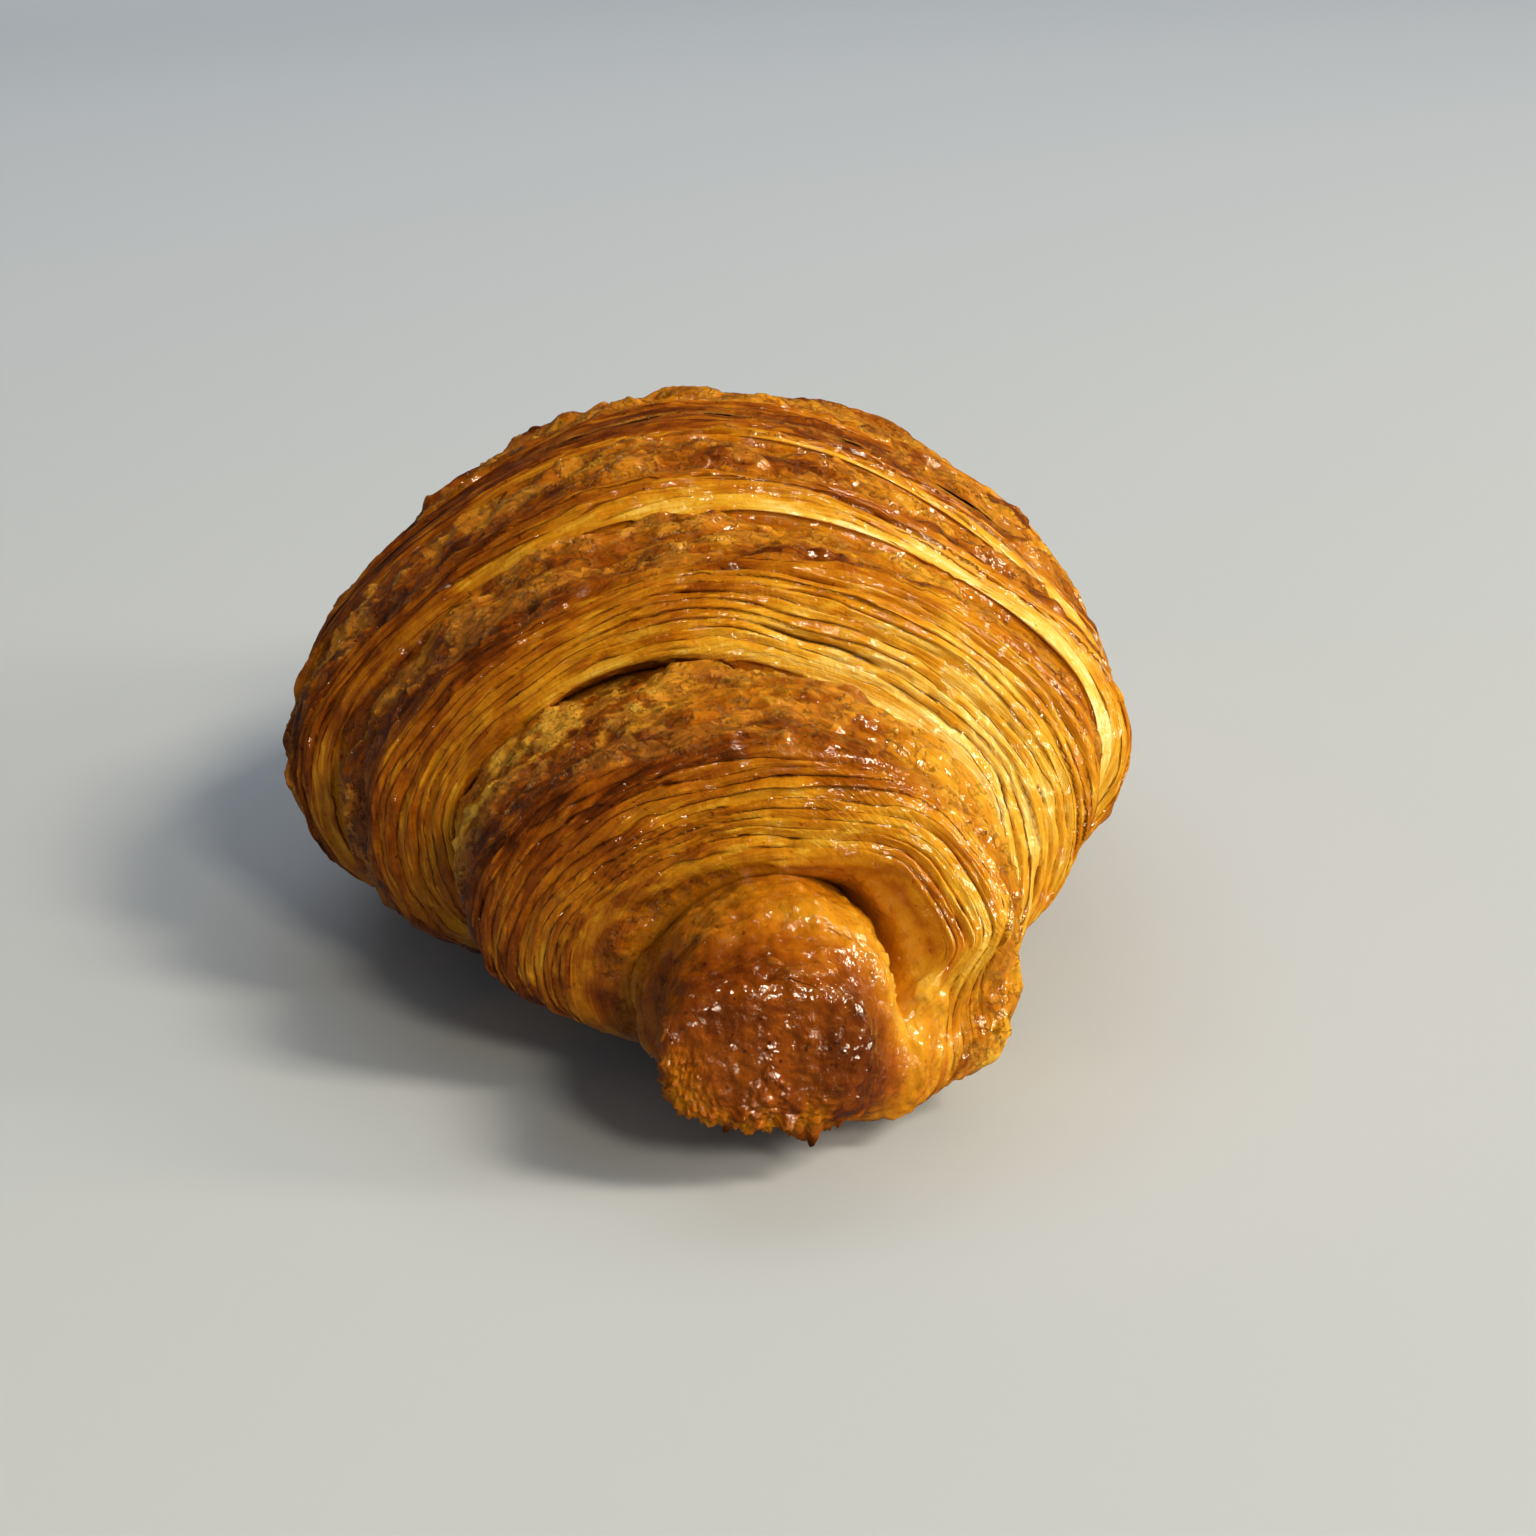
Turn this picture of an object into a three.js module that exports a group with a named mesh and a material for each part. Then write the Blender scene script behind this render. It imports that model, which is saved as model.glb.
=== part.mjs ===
// A butter croissant: one long triangle of laminated dough, rolled up from its wide edge and baked
// as one piece. Millimetres, +Z up. X runs from point to point, both points bend towards +Y, and
// the flat underside lies on z = 0.
//
// The surface is what can be seen of the rolled sheet. Two numbers place a spot on it. "winding"
// counts turns along the sheet from the points of the croissant to the sheet's last corner, and it
// is a whole number over the top. "across" runs from 0 at the sheet's cut edge to 1 where the next
// turn covers it. Their sum, "turn", falls away from the middle to the point.
import * as THREE from 'three';

// Driving dimensions
const length = 160; // point to point
const width = 88.8; // at the middle
const height = 53.6; // at the middle
const bend = 6.2; // how far the points lean towards +Y
const hook = 2.2; // how far the last bit of each point turns back
const turns = 4.6; // turns of dough between a point and the middle
const capTurns = 0.4; // the part of a turn that rounds off each point
const capLength = 2; // how far the rounding stands out
const lumpSize = 0.014; // gentle swellings, as a share of the section

// The mesh: columns follow the winding and rows cross the visible band of each turn
const columnsPerTurn = 35;
const rowPlaces = [0, 0.06, 0.12, 0.3, 0.48, 0.56, 0.74, 0.92, 1];
const lipPlace = 0.06; // half way under the overhang
const rimPlace = 0.12; // lower rim of the cut face
const browPlace = 0.48; // top of the cut face
const shoulderPlace = 0.56; // front of the crust
const crustEndPlace = 0.92; // where the next turn comes down on the crust

// Section of the roll against the turn: how far from the middle, how wide, top and underside
const profile = [
  { turn: 0.0, station: 0.975, halfWidth: 0.205, top: 0.383, underside: 0.127 },
  { turn: 0.5, station: 0.9, halfWidth: 0.222, top: 0.427, underside: 0.1 },
  { turn: 1.0, station: 0.806, halfWidth: 0.268, top: 0.464, underside: 0.064 },
  { turn: 1.6, station: 0.656, halfWidth: 0.502, top: 0.635, underside: 0.036 },
  { turn: 2.0, station: 0.544, halfWidth: 0.608, top: 0.752, underside: 0.051 },
  { turn: 2.5, station: 0.425, halfWidth: 0.725, top: 0.824, underside: 0.044 },
  { turn: 3.0, station: 0.3, halfWidth: 0.833, top: 0.875, underside: 0.004 },
  { turn: 4.0, station: 0.094, halfWidth: 0.982, top: 0.985, underside: -0.027 },
  { turn: turns, station: 0, halfWidth: 1, top: 1, underside: -0.027 },
];

const { clamp, lerp, smoothstep } = THREE.MathUtils;

// 0 outside start..end, 1 between its two inner places
function hump(x, start, rise, fall, end) {
  return smoothstep(x, start, rise) * (1 - smoothstep(x, fall, end));
}

// Straight stretches through [place, value] pairs
function follow(points, x) {
  const last = points.length - 1;
  if (x <= points[0][0]) return points[0][1];
  for (let i = 1; i <= last; i += 1) {
    const [start, before] = points[i - 1];
    const [end, after] = points[i];
    if (x <= end) return lerp(before, after, (x - start) / (end - start));
  }
  return points[last][1];
}

// The same with soft corners
function ease(points, x) {
  let result = points[0][1];
  for (let i = 1; i < points.length; i += 1) {
    result += (points[i][1] - points[i - 1][1]) * smoothstep(x, points[i - 1][0], points[i][0]);
  }
  return result;
}

// 1 at one place of every turn, 0 away from it
const besideAngle = (winding, place, spread) => Math.exp(
  -(((winding - place - Math.round(winding - place)) / spread) ** 2),
);

// Smooth curve through the profile's values of one name, which never swings past them
function alongProfile(name, turn) {
  const last = profile.length - 1;
  const rate = (i) => (profile[i + 1][name] - profile[i][name]) / (profile[i + 1].turn - profile[i].turn);
  const slope = (i) => {
    if (i === 0) return rate(0);
    if (i === last) return rate(last - 1);
    const product = rate(i - 1) * rate(i);
    return product > 0 ? (2 * product) / (rate(i - 1) + rate(i)) : 0;
  };
  const at = clamp(turn, 0, turns);
  let i = 0;
  while (i < last - 1 && at > profile[i + 1].turn) i += 1;
  const span = profile[i + 1].turn - profile[i].turn;
  const t = (at - profile[i].turn) / span;
  const start = profile[i][name];
  const end = profile[i + 1][name];
  return (2 * t ** 3 - 3 * t ** 2 + 1) * start
    + (t ** 3 - 2 * t ** 2 + t) * span * slope(i)
    + (3 * t ** 2 - 2 * t ** 3) * end
    + (t ** 3 - t ** 2) * span * slope(i + 1);
}

// How far the sheet's edge stands clear of the turn below it, in turns
function undercut(winding) {
  const pocketBesidePoint = 0.3 * hump(winding, 0.71, 0.79, 0.88, 1);
  const openCrack = 0.25 * hump(winding, 1.98, 2.08, 2.26, 2.42);
  return 0.02 + pocketBesidePoint + openCrack;
}

// The sheet lies flush where it starts at the point and where its last corner ends
const stepHeight = (winding) => hump(winding, 0.68, 0.8, turns - 0.4, turns - 0.05);

// How high each step rises and how far its edge shifts outwards, in turns, by the winding
const riseAround = [
  [0.6, 0.93], [0.88, 0.74], [1.02, 0.74], [1.25, 0.93], [1.6, 0.93], [1.74, 0.82], [1.9, 1.3],
  [2.05, 0.98], [2.25, 0.93], [2.6, 0.93], [2.75, 0.86], [2.85, 0.9], [3, 0.74], [3.25, 0.93],
];
const edgeShiftAround = [
  [1.5, 0], [1.7, -0.15], [1.88, -0.25], [2.05, -0.2], [2.3, -0.2], [2.5, 0],
  [2.65, 0], [2.88, 0.45], [3.05, 0.2], [3.3, 0.2], [3.6, 0],
];

// How far the crust sinks to where the next turn starts
function neck(winding) {
  const pinch = 0.35 * hump(winding, 0.71, 0.79, 0.88, 1) + 0.26 * hump(winding, 0.95, 1.15, 1.5, 1.75);
  return pinch - ease(edgeShiftAround, winding);
}

// Steps of one turn: [along, outward], both in turns from the sheet's cut edge
function stepOf(winding, across) {
  const rise = ease(riseAround, winding);
  const lean = follow([[1, 0.22], [2, 0.34], [3, 0.25]], winding);
  const rim = 0.05 + 0.11 * hump(winding, 0.5, 0.6, 1.45, 1.6) + 0.13 * hump(winding, 1.96, 2.06, 2.32, 2.5)
    + 0.42 * hump(winding, 0.71, 0.79, 0.88, 1);
  const gap = undercut(winding);
  const nextGap = undercut(winding + 1);
  const along = follow([
    [0, gap],
    [lipPlace, gap / 2],
    [rimPlace, 0],
    [browPlace, lean * 0.6],
    [shoulderPlace, lean],
    [crustEndPlace, 0.98],
    [1, 1 + nextGap],
  ], across);
  const outward = follow([
    [0, -neck(winding)],
    [rimPlace, rim * rise + ease(edgeShiftAround, winding)],
    [browPlace, 0.92 * rise],
    [shoulderPlace, rise],
    [crustEndPlace, 1 - neck(winding + 1) * 0.6],
    [1, 1 - neck(winding + 1)],
  ], across);
  return [along, outward];
}

function surfacePoint(side, winding, across) {
  const angle = 2 * Math.PI * (winding + 0.25);
  const cosine = Math.cos(angle);
  const sine = Math.sin(angle);
  const turn = winding + across;
  const stepped = lerp(stepHeight(winding), stepHeight(winding + 1), smoothstep(across, 0.5, 0.9));
  const aboveBase = smoothstep(sine, -0.92, -0.45);
  const intoMiddle = 1 - smoothstep(turn, turns - 0.15, turns);
  const [along, outward] = stepOf(winding, across);
  const lowerInnerBulge = 0.4 * hump(turn, 0.4, 1, 1.35, 2) * besideAngle(winding, 0.64, 0.12);
  const alongTurn = turn + (along - across) * stepped * aboveBase * intoMiddle - lowerInnerBulge;
  const outwardTurn = turn + (outward - across) * stepped;

  const rounding = (clamp(-turn / capTurns, 0, 1) * Math.PI) / 2;
  const swelling = lumpSize * Math.sin(3 * angle + 2.3 * turn + side) * hump(turn, 0.2, 1, 3.6, turns);
  const girth = Math.cos(rounding) * (1 + swelling);
  const halfWidth = (width / 2) * alongProfile('halfWidth', outwardTurn);
  const top = height * alongProfile('top', outwardTurn);
  const underside = height * alongProfile('underside', outwardTurn);
  const widest = height * lerp(0.255, 0.409, smoothstep(outwardTurn, 0.6, 2.8));
  const innerSide = smoothstep(cosine, -0.2, 0.8);
  const hollowUnderInside = 0.074 * smoothstep(outwardTurn, 1.9, 2.6);
  const fullUnderPoint = ease([[-0.2, 0], [0.6, 0.3], [1, 0.24], [1.6, 0.08], [2.1, 0]], outwardTurn);
  const squarePoint = 0.07 * (1 - smoothstep(outwardTurn, 0.5, 1.2));
  const aboveShape = squarePoint - 0.073 * smoothstep(outwardTurn, 0.8, 3.6);
  const belowShape = 0.046 + squarePoint + (fullUnderPoint - hollowUnderInside) * innerSide;
  const cornerShape = 1 + (sine >= 0 ? aboveShape : belowShape) * Math.sin(2 * angle) ** 2;
  const reach = sine >= 0 ? top - widest : widest - underside;

  const x = (length / 2 - capLength) * (alongProfile('station', alongTurn) / profile[0].station)
    + capLength * Math.sin(rounding);
  const sway = bend * smoothstep(x, 0, 0.39 * length) - hook * (1 - smoothstep(outwardTurn, 0, 1));
  const y = sway + girth * cornerShape * halfWidth * cosine;
  const z = widest + girth * cornerShape * reach * sine;
  return new THREE.Vector3(side * x, y, Math.max(z, 0));
}

const firstWinding = -capTurns - 1;
const lastColumn = Math.round((turns - firstWinding) * columnsPerTurn);
const lastRow = rowPlaces.length - 1;
const windingAt = (column) => firstWinding + column / columnsPerTurn;

// The first turn starts as a point and the last turn ends in one, so their rows close up
function acrossAt(row, column) {
  const winding = windingAt(column);
  const start = Math.max(0, -capTurns - winding);
  const end = Math.min(1, turns - winding);
  return lerp(start, Math.max(start, end), rowPlaces[row]);
}

// Each spot has one name, so that the turns, the ends and the two halves share their vertices
function spotName(side, row, column) {
  if (column === lastColumn) return 'last corner';
  if (windingAt(column) + acrossAt(row, column) <= -capTurns + 1e-9) return `point ${side}`;
  if (row < lastRow) return `${side} ${row} ${column}`;
  if (column + columnsPerTurn <= lastColumn) return spotName(side, 0, column + columnsPerTurn);
  return `middle ${column}`;
}

const positions = [];
const indices = [];
const vertexOf = new Map();

function vertex(side, row, column) {
  const name = spotName(side, row, column);
  if (!vertexOf.has(name)) {
    vertexOf.set(name, positions.length / 3);
    positions.push(...surfacePoint(side, windingAt(column), acrossAt(row, column)).toArray());
  }
  return vertexOf.get(name);
}

function triangle(side, a, b, c) {
  if (a === b || b === c || c === a) return;
  indices.push(...(side > 0 ? [a, b, c] : [a, c, b]));
}

for (const side of [1, -1]) {
  for (let column = 0; column < lastColumn; column += 1) {
    for (let row = 0; row < lastRow; row += 1) {
      const a = vertex(side, row, column);
      const b = vertex(side, row + 1, column);
      const c = vertex(side, row + 1, column + 1);
      const d = vertex(side, row, column + 1);
      triangle(side, a, b, c);
      triangle(side, a, c, d);
    }
  }
}

const geometry = new THREE.BufferGeometry();
geometry.setAttribute('position', new THREE.Float32BufferAttribute(positions, 3));
geometry.setIndex(indices);
geometry.computeBoundingBox();
geometry.translate(0, -(geometry.boundingBox.min.y + geometry.boundingBox.max.y) / 2, 0);
geometry.computeVertexNormals();

const goldenCrust = new THREE.MeshStandardMaterial({ color: '#b5751c', roughness: 0.42, metalness: 0 });
const croissant = new THREE.Mesh(geometry, goldenCrust);
croissant.name = 'croissant';

const group = new THREE.Group();
group.add(croissant);

export default group;
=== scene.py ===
# Butter croissant: one long triangle of laminated dough, rolled, egg-washed and baked as one piece
import math

import bpy
import numpy as np
from mathutils import Euler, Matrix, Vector


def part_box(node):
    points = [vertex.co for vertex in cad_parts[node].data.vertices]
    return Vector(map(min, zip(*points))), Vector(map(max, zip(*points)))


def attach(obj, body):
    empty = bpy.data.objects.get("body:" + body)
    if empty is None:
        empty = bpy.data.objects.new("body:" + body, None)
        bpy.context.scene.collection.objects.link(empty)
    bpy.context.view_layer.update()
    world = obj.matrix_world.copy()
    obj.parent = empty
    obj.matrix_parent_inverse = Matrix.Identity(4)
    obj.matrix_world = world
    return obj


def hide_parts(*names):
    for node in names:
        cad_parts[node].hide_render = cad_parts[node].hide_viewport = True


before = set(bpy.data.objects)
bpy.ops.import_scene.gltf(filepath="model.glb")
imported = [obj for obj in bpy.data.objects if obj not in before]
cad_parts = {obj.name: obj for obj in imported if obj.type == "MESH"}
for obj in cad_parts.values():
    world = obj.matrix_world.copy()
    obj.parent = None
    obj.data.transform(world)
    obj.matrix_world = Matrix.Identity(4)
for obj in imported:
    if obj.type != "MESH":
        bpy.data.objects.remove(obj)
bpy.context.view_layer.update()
cadLow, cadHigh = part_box("croissant")
mm = 0.001  # metres in a millimetre

scene = bpy.context.scene
scene.view_settings.view_transform = "Standard"
scene.view_settings.look = "None"


def linearColour(hexColour):  # sRGB hex to linear, with alpha
    channels = [int(hexColour[i:i + 2], 16) / 255 for i in (1, 3, 5)]
    linear = [c / 12.92 if c <= 0.04045 else ((c + 0.055) / 1.055) ** 2.4 for c in channels]
    return (*linear, 1.0)


def smoothstep(x, start, end):
    t = np.clip((x - start) / (end - start), 0, 1)
    return t * t * (3 - 2 * t)


def lerp(a, b, t):
    return a + (b - a) * t


def hump(x, start, rise, fall, end):  # 0 outside start..end, 1 between rise and fall
    return smoothstep(x, start, rise) * (1 - smoothstep(x, fall, end))


def bell(x, spread):
    return np.exp(-(x / spread) ** 2)


def follow(points, x):  # straight stretches through (place, value) pairs
    result = points[0][1] + 0 * x
    for (start, before), (end, after) in zip(points, points[1:]):
        result = result + (after - before) * np.clip((x - start) / (end - start), 0, 1)
    return result


def ease(points, x):  # the same with soft corners
    result = points[0][1] + 0 * x
    for (start, before), (end, after) in zip(points, points[1:]):
        result = result + (after - before) * smoothstep(x, start, end)
    return result


def lattice(ix, iy, seed, iz=0):  # the same pseudo-random number for the same place, 0 to 1
    n = (ix * 374761393 + iy * 668265263 + iz * 362437069 + seed * 144269504) & 0xFFFFFFFF
    n = ((n ^ (n >> 13)) * 1274126177) & 0xFFFFFFFF
    return ((n ^ (n >> 16)) & 0xFFFFFF) / 0xFFFFFF


def fade(t):
    return t * t * t * (t * (t * 6 - 15) + 10)


def noise(x, y, seed):  # smooth noise, -1 to 1; a whole number in y gives each row its own run
    ix = np.floor(x).astype(np.int64)
    iy = np.floor(y).astype(np.int64)
    u = fade(x - ix)
    v = fade(y - iy)
    lower = lerp(lattice(ix, iy, seed), lattice(ix + 1, iy, seed), u)
    upper = lerp(lattice(ix, iy + 1, seed), lattice(ix + 1, iy + 1, seed), u)
    return 2 * lerp(lower, upper, v) - 1


def rowNoise(x, row, seed):  # noise along each whole-numbered row, not lined up with the next row
    return noise(x + 0.618 * row, row, seed)


def solidNoise(points, seed):  # the same through a volume
    cell = np.floor(points).astype(np.int64)
    ix, iy, iz = cell[..., 0], cell[..., 1], cell[..., 2]
    u, v, w = (fade(points[..., axis] - cell[..., axis]) for axis in range(3))
    levels = []
    for dz in (0, 1):
        lower = lerp(lattice(ix, iy, seed, iz + dz), lattice(ix + 1, iy, seed, iz + dz), u)
        upper = lerp(lattice(ix, iy + 1, seed, iz + dz), lattice(ix + 1, iy + 1, seed, iz + dz), u)
        levels.append(lerp(lower, upper, v))
    return 2 * lerp(levels[0], levels[1], w) - 1


def fractal(points, alongX, aroundX, seed, octaves=4, gain=0.5):
    # feature sizes in mm, along the X axis and around it
    scaled = points / np.array([alongX, aroundX, aroundX])
    total = 0.0
    size = 1.0
    for octave in range(octaves):
        total = total + size * solidNoise(scaled, seed + octave)
        scaled = scaled @ np.array([[0.86, 0.5, 0.1], [-0.5, 0.86, -0.06], [-0.12, 0.0, 0.99]]) * 2.03
        size *= gain
    return total


def blisters(x, y, seed, share):  # round bubbles, one in some of the unit cells, 0 to 1
    height = 0 * x
    ix = np.floor(x).astype(np.int64)
    iy = np.floor(y).astype(np.int64)
    for dx in (-1, 0, 1):
        for dy in (-1, 0, 1):
            cx = ix + dx
            cy = iy + dy
            radius = 0.22 + 0.35 * lattice(cx, cy, seed + 2)
            px = cx + 0.2 + 0.6 * lattice(cx, cy, seed)
            py = cy + 0.2 + 0.6 * lattice(cx, cy, seed + 1)
            there = lattice(cx, cy, seed + 3) < share
            dome = 1 - ((x - px) ** 2 + (y - py) ** 2) / radius ** 2
            height = np.maximum(height, there * radius * np.sqrt(np.clip(dome, 0, 1)))
    return height


roll = {
    "turns": 4.6,  # turns of dough between a point and the middle
    "capTurns": 0.4,  # the part of a turn that rounds off each point
    "capLength": 2.0,  # mm
    "bend": 6.2,  # mm that the points lean towards +Y
    "hook": 2.2,  # mm that the last bit of each point turns back
    "lumpSize": 0.014,  # gentle swellings, as a share of the section
    "columnSpacing": 0.36,  # mm between mesh columns round the roll
    "rowsUnderLip": 13,
    "rowsOnCutFace": 88,
    "rowsOnCrust": 44,
    "rowsIntoGap": 9,
    "rounding": 26,  # passes that soften the corners of the steps
}
lipPlace, rimPlace, browPlace, shoulderPlace, crustEndPlace = 0.06, 0.12, 0.48, 0.56, 0.92

# Section of the roll against the turn, as shares of half the length, half the width and the height
profileTurn = np.array([0.0, 0.5, 1.0, 1.6, 2.0, 2.5, 3.0, 4.0, 4.6])
profileStation = np.array([0.975, 0.9, 0.806, 0.656, 0.544, 0.425, 0.3, 0.094, 0.0])
profileHalfWidth = np.array([0.205, 0.222, 0.268, 0.502, 0.608, 0.725, 0.833, 0.982, 1.0])
profileTop = np.array([0.383, 0.427, 0.464, 0.635, 0.752, 0.824, 0.875, 0.985, 1.0])
profileUnderside = np.array([0.127, 0.1, 0.064, 0.036, 0.051, 0.044, 0.004, -0.027, -0.027])

length = (cadHigh[0] - cadLow[0]) / mm
width = (cadHigh[1] - cadLow[1]) / mm * 0.995
height = (cadHigh[2] - cadLow[2]) / mm
turns = roll["turns"]


def alongProfile(values, turn):  # smooth curve through the values, which never swings past them
    span = np.diff(profileTurn)
    rate = np.diff(values) / span
    slope = np.zeros_like(values)
    slope[0], slope[-1] = rate[0], rate[-1]
    product = rate[:-1] * rate[1:]
    total = np.where(product > 0, rate[:-1] + rate[1:], 1)
    slope[1:-1] = np.where(product > 0, 2 * product / total, 0)
    at = np.clip(turn, 0, turns)
    i = np.clip(np.searchsorted(profileTurn, at) - 1, 0, len(span) - 1)
    t = (at - profileTurn[i]) / span[i]
    return ((2 * t ** 3 - 3 * t ** 2 + 1) * values[i] + (t ** 3 - 2 * t ** 2 + t) * span[i] * slope[i]
            + (3 * t ** 2 - 2 * t ** 3) * values[i + 1] + (t ** 3 - t ** 2) * span[i] * slope[i + 1])


def undercut(winding):  # how far the sheet's edge stands clear of the turn below, in turns
    pocketBesidePoint = 0.3 * hump(winding, 0.71, 0.79, 0.88, 1.0)
    openCrack = 0.25 * hump(winding, 1.98, 2.08, 2.26, 2.42)
    return 0.02 + pocketBesidePoint + openCrack


def stepHeight(winding):  # the sheet lies flush where it starts and where its last corner ends
    return hump(winding, 0.68, 0.8, turns - 0.4, turns - 0.05)


def besideAngle(winding, place, spread):  # 1 at one place of every turn, 0 away from it
    return bell(winding - place - np.round(winding - place), spread)


# By the winding: how high each step rises, and how far its edge shifts outwards, in turns
riseAround = [(0.6, 0.93), (0.88, 0.74), (1.02, 0.74), (1.25, 0.93), (1.6, 0.93), (1.74, 0.82), (1.9, 1.3),
              (2.05, 0.98), (2.25, 0.93), (2.6, 0.93), (2.75, 0.86), (2.85, 0.9), (3.0, 0.74), (3.25, 0.93)]
edgeShiftAround = [(1.5, 0), (1.7, -0.15), (1.88, -0.25), (2.05, -0.2), (2.3, -0.2), (2.5, 0),
                   (2.65, 0), (2.88, 0.45), (3.05, 0.2), (3.3, 0.2), (3.6, 0)]


def neck(winding):  # how far the crust sinks to where the next turn starts
    pinch = 0.35 * hump(winding, 0.71, 0.79, 0.88, 1.0) + 0.26 * hump(winding, 0.95, 1.15, 1.5, 1.75)
    return pinch - ease(edgeShiftAround, winding)


def stepOf(winding, across):  # along and outward, both in turns from the sheet's cut edge
    rise = ease(riseAround, winding)
    lean = follow([(1, 0.22), (2, 0.34), (3, 0.25)], winding)
    rim = (0.05 + 0.11 * hump(winding, 0.5, 0.6, 1.45, 1.6) + 0.13 * hump(winding, 1.96, 2.06, 2.32, 2.5)
           + 0.42 * hump(winding, 0.71, 0.79, 0.88, 1.0))
    gap = undercut(winding)
    nextNeck = neck(winding + 1)
    along = follow([(0, gap), (lipPlace, gap / 2), (rimPlace, 0), (browPlace, lean * 0.6),
                    (shoulderPlace, lean), (crustEndPlace, 0.98), (1, 1 + undercut(winding + 1))], across)
    rimOutward = rim * rise + ease(edgeShiftAround, winding)
    outward = follow([(0, -neck(winding)), (rimPlace, rimOutward), (browPlace, 0.92 * rise),
                      (shoulderPlace, rise), (crustEndPlace, 1 - nextNeck * 0.6), (1, 1 - nextNeck)], across)
    return along, outward


def rollSurface(side, winding, across):  # millimetres, before any fine detail
    angle = 2 * math.pi * (winding + 0.25)
    cosine = np.cos(angle)
    sine = np.sin(angle)
    turn = winding + across
    stepped = lerp(stepHeight(winding), stepHeight(winding + 1), smoothstep(across, 0.5, 0.9))
    aboveBase = smoothstep(sine, -0.92, -0.45)
    intoMiddle = 1 - smoothstep(turn, turns - 0.15, turns)
    along, outward = stepOf(winding, across)
    lowerInnerBulge = 0.4 * hump(turn, 0.4, 1.0, 1.35, 2.0) * besideAngle(winding, 0.64, 0.12)
    alongTurn = turn + (along - across) * stepped * aboveBase * intoMiddle - lowerInnerBulge
    outwardTurn = turn + (outward - across) * stepped

    rounding = np.clip(-turn / roll["capTurns"], 0, 1) * math.pi / 2
    swelling = roll["lumpSize"] * np.sin(3 * angle + 2.3 * turn + side) * hump(turn, 0.2, 1, 3.6, turns)
    girth = np.cos(rounding) * (1 + swelling)
    halfWidth = width / 2 * alongProfile(profileHalfWidth, outwardTurn)
    top = height * alongProfile(profileTop, outwardTurn)
    underside = height * alongProfile(profileUnderside, outwardTurn)
    widest = height * lerp(0.255, 0.409, smoothstep(outwardTurn, 0.6, 2.8))
    innerSide = smoothstep(cosine, -0.2, 0.8)
    hollowUnderInside = 0.074 * smoothstep(outwardTurn, 1.9, 2.6)
    fullUnderPoint = ease([(-0.2, 0), (0.6, 0.3), (1.0, 0.24), (1.6, 0.08), (2.1, 0)], outwardTurn)
    squarePoint = 0.07 * (1 - smoothstep(outwardTurn, 0.5, 1.2))
    aboveShape = squarePoint - 0.073 * smoothstep(outwardTurn, 0.8, 3.6)
    belowShape = 0.046 + squarePoint + (fullUnderPoint - hollowUnderInside) * innerSide
    cornerShape = 1 + np.where(sine >= 0, aboveShape, belowShape) * np.sin(2 * angle) ** 2
    reach = np.where(sine >= 0, top - widest, widest - underside)

    x = ((length / 2 - roll["capLength"]) * alongProfile(profileStation, alongTurn) / profileStation[0]
         + roll["capLength"] * np.sin(rounding))
    sway = (roll["bend"] * smoothstep(x, 0, 0.39 * length)
            - roll["hook"] * (1 - smoothstep(outwardTurn, 0, 1)))
    y = sway + girth * cornerShape * halfWidth * cosine
    z = widest + girth * cornerShape * reach * sine
    return np.stack([side * x, y, np.maximum(z, 0)], axis=-1)


def rowPlaces():
    return np.concatenate([
        np.linspace(0, rimPlace, roll["rowsUnderLip"], endpoint=False),
        np.linspace(rimPlace, shoulderPlace, roll["rowsOnCutFace"], endpoint=False),
        np.linspace(shoulderPlace, crustEndPlace, roll["rowsOnCrust"], endpoint=False),
        np.linspace(crustEndPlace, 1, roll["rowsIntoGap"]),
    ])


def columnPlaces():  # windings, closer together where the roll is thick
    first = -roll["capTurns"] - 1
    fine = np.linspace(first, turns, 4000)
    shoulderTurn = fine + 0.8
    around = math.pi * (width / 2 * alongProfile(profileHalfWidth, shoulderTurn)
                        + height / 2 * alongProfile(profileTop, shoulderTurn))
    count = np.concatenate([[0], np.cumsum(around[1:] * np.diff(fine))]) / roll["columnSpacing"]
    return np.interp(np.arange(0, int(count[-1]) + 1) / int(count[-1]) * count[-1], count, fine)


def gridNormals(points):
    alongRows = np.gradient(points, axis=0)
    alongColumns = np.gradient(points, axis=1)
    normals = np.cross(alongRows, alongColumns)
    size = np.linalg.norm(normals, axis=-1, keepdims=True)
    return normals / np.maximum(size, 1e-9)


def runningLength(points, axis):
    step = np.linalg.norm(np.diff(points, axis=axis), axis=-1)
    start = np.zeros_like(np.take(step, [0], axis=axis))
    return np.cumsum(np.concatenate([start, step], axis=axis), axis=axis)


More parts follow.
